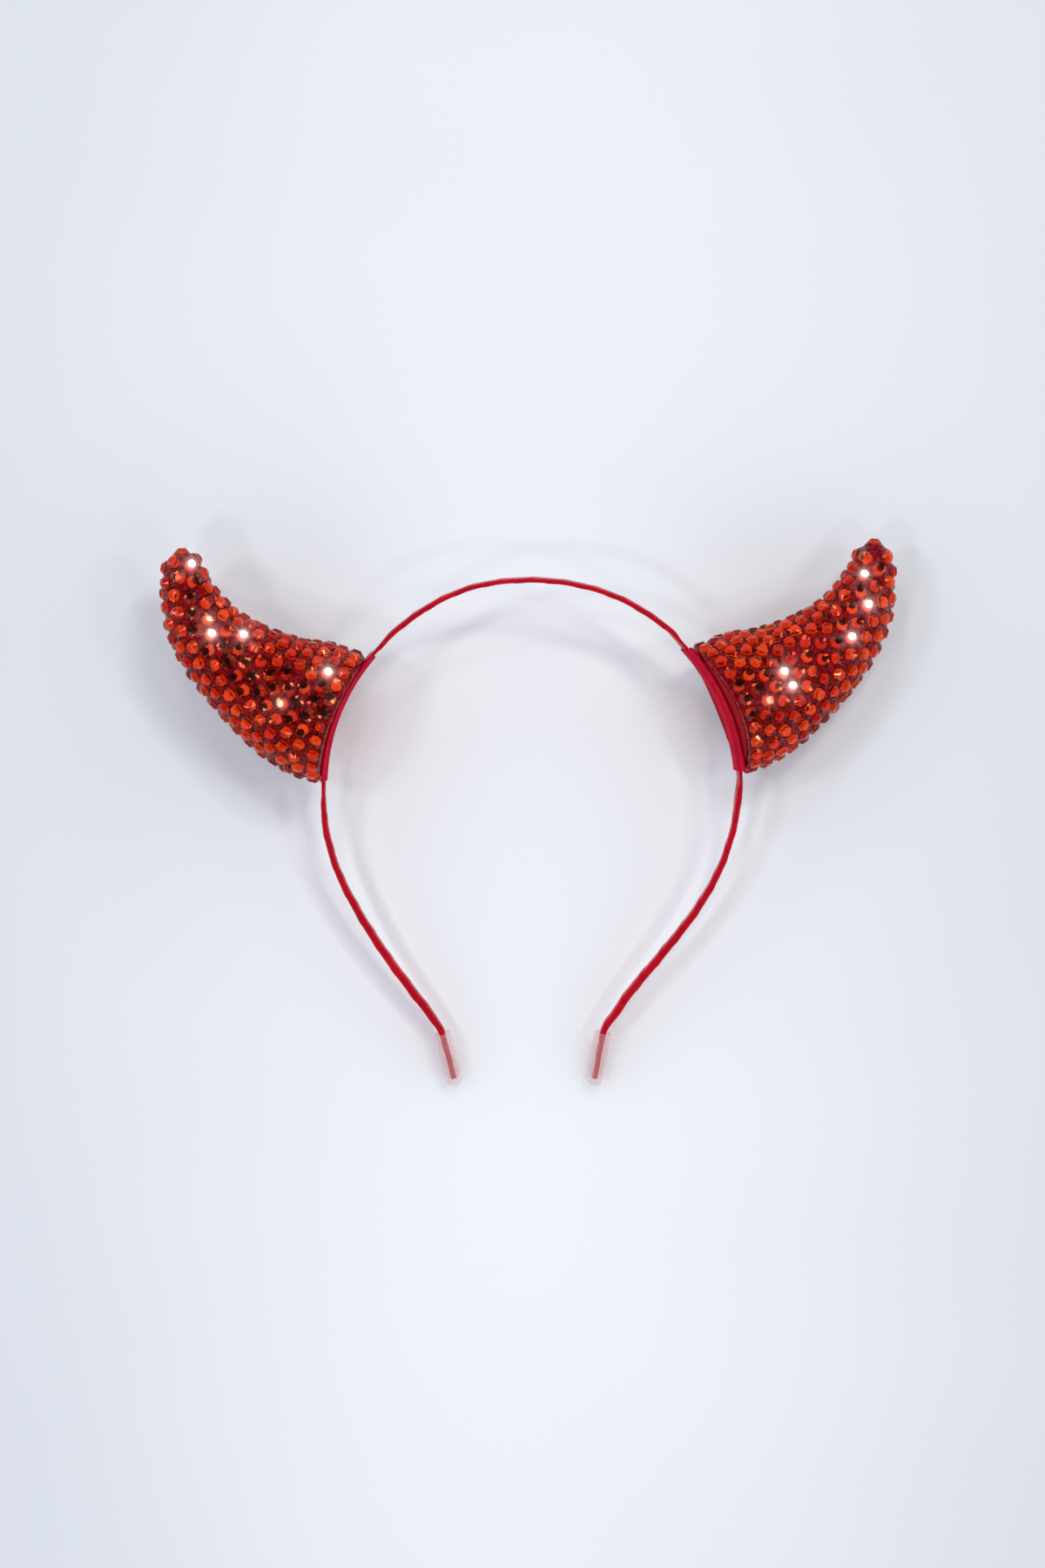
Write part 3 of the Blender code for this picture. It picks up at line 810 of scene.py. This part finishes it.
glue, glue_shader = new_material(
    "brushed_crimson_glue", Roughness=0.14, IOR=1.46, Specular_Tint=linear(GLUE_GLOSS)
)
glue_spots = add_node(glue, "ShaderNodeTexCoord")
glue_marks = add_node(
    glue,
    "ShaderNodeTexNoise",
    links={"Vector": glue_spots.outputs["Object"], "Scale": 1.0 / BRUSH_MARKS, "Detail": 3.0},
)
# Painted glow and glue depth: bright crimson where the marks are low, dark where they are high.
glue_depth_and_glow = add_node(
    glue,
    "ShaderNodeMapRange",
    links={"Value": glue_marks.outputs["Fac"], "From Min": 0.42, "From Max": 0.62},
)
glue_colour = add_node(
    glue,
    "ShaderNodeMix",
    {"data_type": "RGBA"},
    {"Factor": glue_depth_and_glow.outputs["Result"], ONE: linear(GLUE_CRIMSON), OTHER: linear(GLUE_DARK)},
)
join(glue, glue_colour.outputs[MIXED], glue_shader, "Base Color")
glue_bump = add_node(
    glue,
    "ShaderNodeBump",
    links={"Height": glue_marks.outputs["Fac"], "Strength": 0.9, "Distance": 0.5 * MM},
)
join(glue, glue_bump.outputs["Normal"], glue_shader, "Normal")

for place in (LEFT, RIGHT):
    rings = skin_rings(place)

    def skin_place(along, around):
        """A point of the horn's skin before the glue."""
        return rings[round(along * (len(rings) - 1))](2.0 * math.pi * around)

    skin = rolled("glued_horn_" + place.side, len(rings) - 1, SKIN_SIDES, skin_place)
    brush_glue(skin, place)
    skin.data.materials.append(glue)
    laid(skin, seat_matrix(place), smooth_deg=60.0)
    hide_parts("horn_" + place.side)


# The stones
# Machine-cut glass, dyed orange-red: an eight-sided table, a fan of facets down to a thin girdle, and a
# flat back with silver foil that throws the light out again. No two have quite the same shade.
TABLE_CORNERS = 8
TABLE_DIAMETER = 2.5 * MM
TABLE_HEIGHT = 1.85 * MM
GIRDLE_CORNERS = 16
GIRDLE_THICKNESS = 0.25 * MM
SAME_FACET_DEG = 4.0
SHADE_SEEDS = {LEFT: 31, RIGHT: 37}
FOIL_WRINKLES = 0.8 * MM

GLASS_ORANGE = "#EE4408"
GLASS_RED = "#C01003"
GLASS_GLOSS = "#FFA894"
FOIL_SILVER = "#F4E6E0"

cut_glass, glass_shader = new_material(
    "dyed_cut_glass",
    Roughness=0.0,
    IOR=1.46,
    Transmission_Weight=1.0,
    Specular_Tint=linear(GLASS_GLOSS),
)
tint = add_node(cut_glass, "ShaderNodeAttribute", {"attribute_name": "tint"})
glass_colour = add_node(
    cut_glass,
    "ShaderNodeMix",
    {"data_type": "RGBA"},
    {"Factor": tint.outputs["Fac"], ONE: linear(GLASS_ORANGE), OTHER: linear(GLASS_RED)},
)
join(cut_glass, glass_colour.outputs[MIXED], glass_shader, "Base Color")

foil, foil_shader = new_material(
    "silvered_foil_back", Base_Color=linear(FOIL_SILVER), Metallic=1.0, Roughness=0.05
)
foil_spots = add_node(foil, "ShaderNodeTexCoord")
foil_wrinkles = add_node(
    foil,
    "ShaderNodeTexNoise",
    links={"Vector": foil_spots.outputs["Object"], "Scale": 1.0 / FOIL_WRINKLES, "Detail": 1.0},
)
foil_bump = add_node(
    foil,
    "ShaderNodeBump",
    links={"Height": foil_wrinkles.outputs["Fac"], "Strength": 0.1, "Distance": 0.03 * MM},
)
join(foil, foil_bump.outputs["Normal"], foil_shader, "Normal")


def cut_stone():
    """One stone, with the foil's back on the skin and the table up: a hull round its three outlines."""
    bpy.ops.object.select_all(action="DESELECT")
    circles = (
        (TABLE_CORNERS, TABLE_DIAMETER, TABLE_HEIGHT, 0.5),
        (GIRDLE_CORNERS, STONE_DIAMETER, BACK_HEIGHT + GIRDLE_THICKNESS, 0.0),
        (GIRDLE_CORNERS, STONE_DIAMETER, BACK_HEIGHT, 0.0),
    )
    bpy.ops.mesh.primitive_circle_add(vertices=3, radius=0.1 * MM, location=(0, 0, 0.5 * MM))
    stone = bpy.context.object
    bpy.ops.object.mode_set(mode="EDIT")
    for corners, across, height, turn in circles:
        bpy.ops.mesh.primitive_circle_add(
            vertices=corners,
            radius=0.5 * across,
            location=(0.0, 0.0, height),
            rotation=(0.0, 0.0, 2.0 * math.pi * turn / TABLE_CORNERS),
        )
    bpy.ops.mesh.select_all(action="SELECT")
    bpy.ops.mesh.convex_hull()
    bpy.ops.mesh.select_all(action="SELECT")
    bpy.ops.mesh.dissolve_limited(angle_limit=math.radians(SAME_FACET_DEG))
    bpy.ops.mesh.select_all(action="SELECT")
    bpy.ops.mesh.normals_make_consistent(inside=False)
    bpy.ops.object.mode_set(mode="OBJECT")
    stone.data.transform(Matrix.Translation(stone.location))
    stone.location = (0.0, 0.0, 0.0)
    stone.data.materials.append(cut_glass)
    stone.data.materials.append(foil)
    for face in stone.data.polygons:
        face.material_index = 1 if face.normal.z < -0.9 else 0
    return stone


pattern_stone = cut_stone()
for place in (LEFT, RIGHT):
    chance = random.Random(SHADE_SEEDS[place])
    field = bmesh.new()
    tints = field.faces.layers.float.new("tint")
    for matrix in STONE_FRAMES[place]:
        copy = pattern_stone.data.copy()
        copy.transform(matrix)
        before = len(field.faces)
        field.from_mesh(copy)
        bpy.data.meshes.remove(copy)
        field.faces.ensure_lookup_table()
        shade_of_stone = chance.random()
        for face in field.faces[before:]:
            face[tints] = shade_of_stone
    bpy.ops.object.select_all(action="DESELECT")
    stones = bpy.data.objects.new("cut_stones_" + place.side, pattern_stone.data.copy())
    bpy.context.scene.collection.objects.link(stones)
    field.to_mesh(stones.data)
    field.free()
    laid(stones, seat_matrix(place), smooth_deg=1.0)
bpy.data.objects.remove(pattern_stone, do_unlink=True)


# The felt
# Crimson craft felt, about a millimetre thick and cut with scissors. An oval pad closes each horn's base,
# and a strip glued to it holds the band in between.
STRIP_THICKNESS = 0.8 * MM
STRIP_CREST = 0.45 * MM
STRIP_WIDTH = 14.0 * MM
STRIP_SLOPE = 4.2 * MM
STRIP_SHIFT = 1.0 * MM
FELT_GAP = 0.05 * MM
PAD_FACE = 0.5 * BAND_THICKNESS * SEAT_THIN + 2.0 * FELT_GAP
PAD_RINGS = 12
FELT_SIDES = 96
STRIP_RINGS = 90
STRIP_STEPS = 40
STRIP_CUT = 0.35 * MM
STRIP_CUT_STEPS = 8
FELT_RIPPLE = 0.12 * MM
RIPPLES_ALONG = 12.0
RIPPLE_ACROSS = 3.0 * MM

FELT_RED = "#C8082F"
FELT_DEEP = "#A00422"
FELT_NAP = "#E0204A"
SOAKED_RED = "#98000F"
FIBRES = 0.35 * MM
FELT_CLOUDS = 4.0 * MM
SOAKED_NAP = 0.6 * MM

felt, felt_shader = new_material(
    "pressed_crimson_felt",
    Roughness=0.9,
    Specular_Tint=linear(FELT_NAP),
    Sheen_Weight=0.2,
    Sheen_Roughness=0.5,
    Sheen_Tint=linear(FELT_NAP),
)
felt_spots = add_node(felt, "ShaderNodeTexCoord")
fibres = add_node(
    felt,
    "ShaderNodeTexNoise",
    links={"Vector": felt_spots.outputs["Object"], "Scale": 1.0 / FIBRES, "Detail": 6.0, "Roughness": 0.7},
)
felt_clouds = add_node(
    felt,
    "ShaderNodeTexNoise",
    links={"Vector": felt_spots.outputs["Object"], "Scale": 1.0 / FELT_CLOUDS, "Detail": 2.0},
)
felt_mixed = add_node(
    felt,
    "ShaderNodeMath",
    {"operation": "MULTIPLY"},
    {0: fibres.outputs["Fac"], 1: felt_clouds.outputs["Fac"]},
)
felt_range = add_node(
    felt,
    "ShaderNodeMapRange",
    links={"Value": felt_mixed.outputs[0], "From Min": 0.12, "From Max": 0.4},
)
felt_colour = add_node(
    felt,
    "ShaderNodeMix",
    {"data_type": "RGBA"},
    {"Factor": felt_range.outputs["Result"], ONE: linear(FELT_DEEP), OTHER: linear(FELT_RED)},
)
join(felt, felt_colour.outputs[MIXED], felt_shader, "Base Color")
felt_bump = add_node(
    felt, "ShaderNodeBump", links={"Height": fibres.outputs["Fac"], "Strength": 0.5, "Distance": 0.12 * MM}
)
join(felt, felt_bump.outputs["Normal"], felt_shader, "Normal")


def arch_point(place, out, along, depth):
    """A point in a seat's frame: out from the band's line, along the arch and towards the viewer."""
    radius = place.seat * ARCH_RADIUS
    angle = along / radius
    x = (radius + out) * math.cos(angle) - radius
    return Vector((x, (radius + out) * math.sin(angle), depth))


def strip_profile():
    """The strip's cross-section as (depth, out), round all its edge: raised over the band."""
    flange = PAD_FACE - FELT_GAP
    crest = -0.5 * BAND_THICKNESS * SEAT_THIN - FELT_GAP
    channel = 0.5 * BAND_WIDTH + FELT_GAP
    edge = 0.5 * STRIP_WIDTH
    half = 0.5 * STRIP_THICKNESS
    upper, lower = [], []
    for i in range(STRIP_STEPS + 1):
        depth = edge * (2.0 * i / STRIP_STEPS - 1.0)
        over = ease((channel + STRIP_SLOPE - abs(depth)) / STRIP_SLOPE)
        thick = STRIP_THICKNESS + (STRIP_CREST - STRIP_THICKNESS) * ease(2.0 * over)
        out = flange + (crest - flange) * over
        upper.append((depth, out))
        lower.append((depth, out - thick))
    turns = [math.pi * i / STRIP_CUT_STEPS for i in range(1, STRIP_CUT_STEPS)]
    round_end = [(math.sin(turn), math.cos(turn)) for turn in turns]
    end_right = [(edge + STRIP_CUT * s, flange - half + half * c) for s, c in round_end]
    end_left = [(-edge - STRIP_CUT * s, flange - half - half * c) for s, c in round_end]
    return upper + end_right + lower[::-1] + end_left


# The pads are soaked with the horn's glue, which sets the nap flat and dark.
soaked, soaked_shader = new_material(
    "glue_soaked_felt",
    Base_Color=linear(SOAKED_RED),
    Roughness=0.8,
    IOR=1.2,
    Specular_Tint=linear(GLUE_GLOSS),
)
soaked_spots = add_node(soaked, "ShaderNodeTexCoord")
soaked_nap = add_node(
    soaked,
    "ShaderNodeTexNoise",
    links={"Vector": soaked_spots.outputs["Object"], "Scale": 1.0 / SOAKED_NAP, "Detail": 4.0},
)
soaked_bump = add_node(
    soaked,
    "ShaderNodeBump",
    links={"Height": soaked_nap.outputs["Fac"], "Strength": 0.6, "Distance": 0.2 * MM},
)
join(soaked, soaked_bump.outputs["Normal"], soaked_shader, "Normal")

STRIP_PROFILE = strip_profile()
for place in (LEFT, RIGHT):

    def strip_place(along, around):
        """A point of the strip, rippled by the fingers that pressed it down."""
        depth, out = STRIP_PROFILE[round(around * len(STRIP_PROFILE)) % len(STRIP_PROFILE)]
        spot = Vector((along * RIPPLES_ALONG, depth / RIPPLE_ACROSS, place.curl * 5.0))
        ripple = -FELT_RIPPLE * abs(noise.noise(spot))
        on_arch = STRIP_LENGTH * (along - 0.5) + place.curl * STRIP_SHIFT
        return arch_point(place, out + ripple, on_arch, depth)

    strip = rolled("felt_cover_strip_" + place.side, STRIP_RINGS, len(STRIP_PROFILE), strip_place)
    strip.data.materials.append(felt)
    laid(strip, seat_matrix(place), smooth_deg=50.0)
    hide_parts("felt_strip_" + place.side)

    pad_edge = 1.0 - (RIM_WALL + FELT_GAP) / HORN_RADIUS
    pad_rings = [(PAD_FACE, i / PAD_RINGS) for i in range(1, PAD_RINGS + 1)]
    pad_rings += [(PAD_OUTER, i / PAD_RINGS) for i in range(PAD_RINGS, 0, -1)]

    def pad_place(along, around):
        """A point of the pad."""
        out, share = pad_rings[round(along * (len(pad_rings) - 1))]
        return base_point(place, out, share * pad_edge, 2.0 * math.pi * around)

    pad = rolled("felt_base_pad_" + place.side, len(pad_rings) - 1, FELT_SIDES, pad_place)
    pad.data.materials.append(soaked)
    laid(pad, seat_matrix(place), smooth_deg=50.0)
    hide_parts("felt_pad_" + place.side)


# The table
# A wide sheet of matt pale studio board that the headband lies on. Its colour holds a painted pool of
# light: palest in a tall patch in the middle, where most of the light falls, and painted a little greyer
# towards both sides as painted shade.
# The board's painted pool of light: its lit middle, its shaded sides, and the pool's size and stretch.
BOARD_LIT_PALE = "#F8FCFE"
BOARD_SHADED_EDGE = "#E0E5E9"
LIGHT_POOL_REACH = 0.26
LIGHT_POOL_DRAWN_OUT = 0.32
BOARD_SIDE = 6.0
BOARD_CLOUDS_A_METRE = 9.0

bpy.ops.object.select_all(action="DESELECT")
bpy.ops.mesh.primitive_grid_add(x_subdivisions=8, y_subdivisions=8, size=BOARD_SIDE)
board = bpy.context.object
board.name = board.data.name = "studio_board"
paper, paper_shader = new_material("matt_studio_board", Roughness=0.8)
paper_spots = add_node(paper, "ShaderNodeTexCoord")
light_pool_spread = add_node(
    paper,
    "ShaderNodeMapping",
    links={
        "Vector": paper_spots.outputs["Object"],
        "Location": (0.0, 0.15, 0.0),
        "Scale": (1.0 / LIGHT_POOL_REACH, LIGHT_POOL_DRAWN_OUT / LIGHT_POOL_REACH, 1.0),
    },
)
light_pool_away = add_node(
    paper, "ShaderNodeVectorMath", {"operation": "LENGTH"}, {0: light_pool_spread.outputs["Vector"]}
)
paper_clouds = add_node(
    paper,
    "ShaderNodeTexNoise",
    links={"Vector": paper_spots.outputs["Object"], "Scale": BOARD_CLOUDS_A_METRE, "Detail": 1.0},
)
light_pool_clouded = add_node(
    paper,
    "ShaderNodeMath",
    {"operation": "MULTIPLY_ADD"},
    {0: paper_clouds.outputs["Fac"], 1: 0.18, 2: light_pool_away.outputs["Value"]},
)
light_pool_falloff = add_node(
    paper,
    "ShaderNodeMapRange",
    {"interpolation_type": "SMOOTHSTEP"},
    {"Value": light_pool_clouded.outputs[0], "From Min": 0.05, "From Max": 1.0},
)
# Painted light: the board's colour goes from the lit pale middle to the shaded grey sides.
lit_paper_colour = add_node(
    paper,
    "ShaderNodeMix",
    {"data_type": "RGBA"},
    {"Factor": light_pool_falloff.outputs["Result"], ONE: linear(BOARD_LIT_PALE), OTHER: linear(BOARD_SHADED_EDGE)},
)
join(paper, lit_paper_colour.outputs[MIXED], paper_shader, "Base Color")
board.data.materials.append(paper)


# The studio
# A soft box and a small bright lamp behind at the right, smaller soft boxes all round, and a dark
# ceiling over pale walls. The stones pick up all of them.
SoftBox = namedtuple("SoftBox", "name side azimuth_deg elevation_deg distance radiance colour")
SOFT_BOXES = (
    SoftBox("key_softbox", 0.38, 60.0, 60.0, 1.6, 10.0, "#FFFBF4"),
    SoftBox("key_lamp", 0.06, 55.0, 54.0, 1.5, 90.0, "#FFFBF4"),
    SoftBox("right_softbox", 0.24, 5.0, 52.0, 1.8, 13.0, "#FFFFFF"),
    SoftBox("back_softbox", 0.22, 105.0, 52.0, 1.8, 13.0, "#F8F9FF"),
    SoftBox("left_softbox", 0.26, 168.0, 55.0, 1.8, 17.0, "#F2F5FF"),
    SoftBox("low_left_softbox", 0.24, 222.0, 60.0, 1.8, 16.0, "#F2F5FF"),
    SoftBox("low_right_softbox", 0.20, 318.0, 58.0, 1.8, 13.0, "#FFFFFF"),
    SoftBox("small_lamp", 0.08, 128.0, 66.0, 1.8, 50.0, "#FFFFFF"),
)
for lamp in SOFT_BOXES:
    light = bpy.data.lights.new(lamp.name, "AREA")
    light.shape = "SQUARE"
    light.size = lamp.side
    light.energy = lamp.radiance * math.pi * lamp.side**2
    light.color = linear(lamp.colour)[:3]
    hung = bpy.data.objects.new(lamp.name, light)
    bpy.context.scene.collection.objects.link(hung)
    azimuth, elevation = math.radians(lamp.azimuth_deg), math.radians(lamp.elevation_deg)
    towards = Vector(
        (
            math.cos(azimuth) * math.cos(elevation),
            math.sin(azimuth) * math.cos(elevation),
            math.sin(elevation),
        )
    )
    hung.location = towards * lamp.distance
    hung.rotation_euler = towards.to_track_quat("Z", "Y").to_euler()
    hung.visible_camera = False

WALL_LIGHT = 1.22
CEILING_LIGHT = 0.03
ROOM_BLUE = "#F2F4FF"
room = bpy.data.worlds.new("pale_room")
bpy.context.scene.world = room
room.use_nodes = True
background = room.node_tree.nodes["Background"]
room_ways = add_node(room, "ShaderNodeTexCoord")
room_height = add_node(room, "ShaderNodeSeparateXYZ", links={"Vector": room_ways.outputs["Generated"]})
room_shade = add_node(
    room,
    "ShaderNodeMapRange",
    {"interpolation_type": "SMOOTHSTEP"},
    {
        "Value": room_height.outputs["Z"],
        "From Min": 0.45,
        "From Max": 0.80,
        "To Min": WALL_LIGHT,
        "To Max": CEILING_LIGHT,
    },
)
background.inputs["Color"].default_value = linear(ROOM_BLUE)
room.node_tree.links.new(room_shade.outputs["Result"], background.inputs["Strength"])

# The camera looks straight down with a long lens. Each of the photograph's 1800 rows takes in 0.28 mm.
PHOTO_ROWS = 1800
MM_PER_ROW = 0.28
LENS = 100.0
SENSOR = 36.0
VIEW_CENTRE = Vector((-2.2, 9.8, 20.0)) * MM

eye = bpy.data.cameras.new("photo_camera")
eye.lens = LENS
eye.sensor_width = SENSOR
camera = bpy.data.objects.new("photo_camera", eye)
bpy.context.scene.collection.objects.link(camera)
camera.location = VIEW_CENTRE + Vector((0.0, 0.0, PHOTO_ROWS * MM_PER_ROW * MM * LENS / SENSOR))
bpy.context.scene.camera = camera
bpy.context.scene.view_settings.view_transform = "Standard"

# The stones that mirror a lamp shine out as small stars with a soft glow, as in the photograph.
GLINT_FROM = 1.3
bpy.context.scene.use_nodes = True
bpy.context.scene.node_tree.nodes.clear()
picture = add_node(bpy.context.scene, "CompositorNodeRLayers")
glow = add_node(
    bpy.context.scene,
    "CompositorNodeGlare",
    {"glare_type": "BLOOM"},
    {
        "Image": picture.outputs["Image"],
        "Threshold": GLINT_FROM,
        "Strength": 0.09,
        "Saturation": 0.7,
        "Size": 0.2,
    },
)
stars = add_node(
    bpy.context.scene,
    "CompositorNodeGlare",
    {"glare_type": "STREAKS"},
    {
        "Image": glow.outputs["Image"],
        "Threshold": GLINT_FROM,
        "Strength": 0.11,
        "Saturation": 0.5,
        "Streaks": 8,
        "Iterations": 2,
        "Fade": 0.75,
        "Color Modulation": 0.0,
    },
)
add_node(bpy.context.scene, "CompositorNodeComposite", links={"Image": stars.outputs["Image"]})
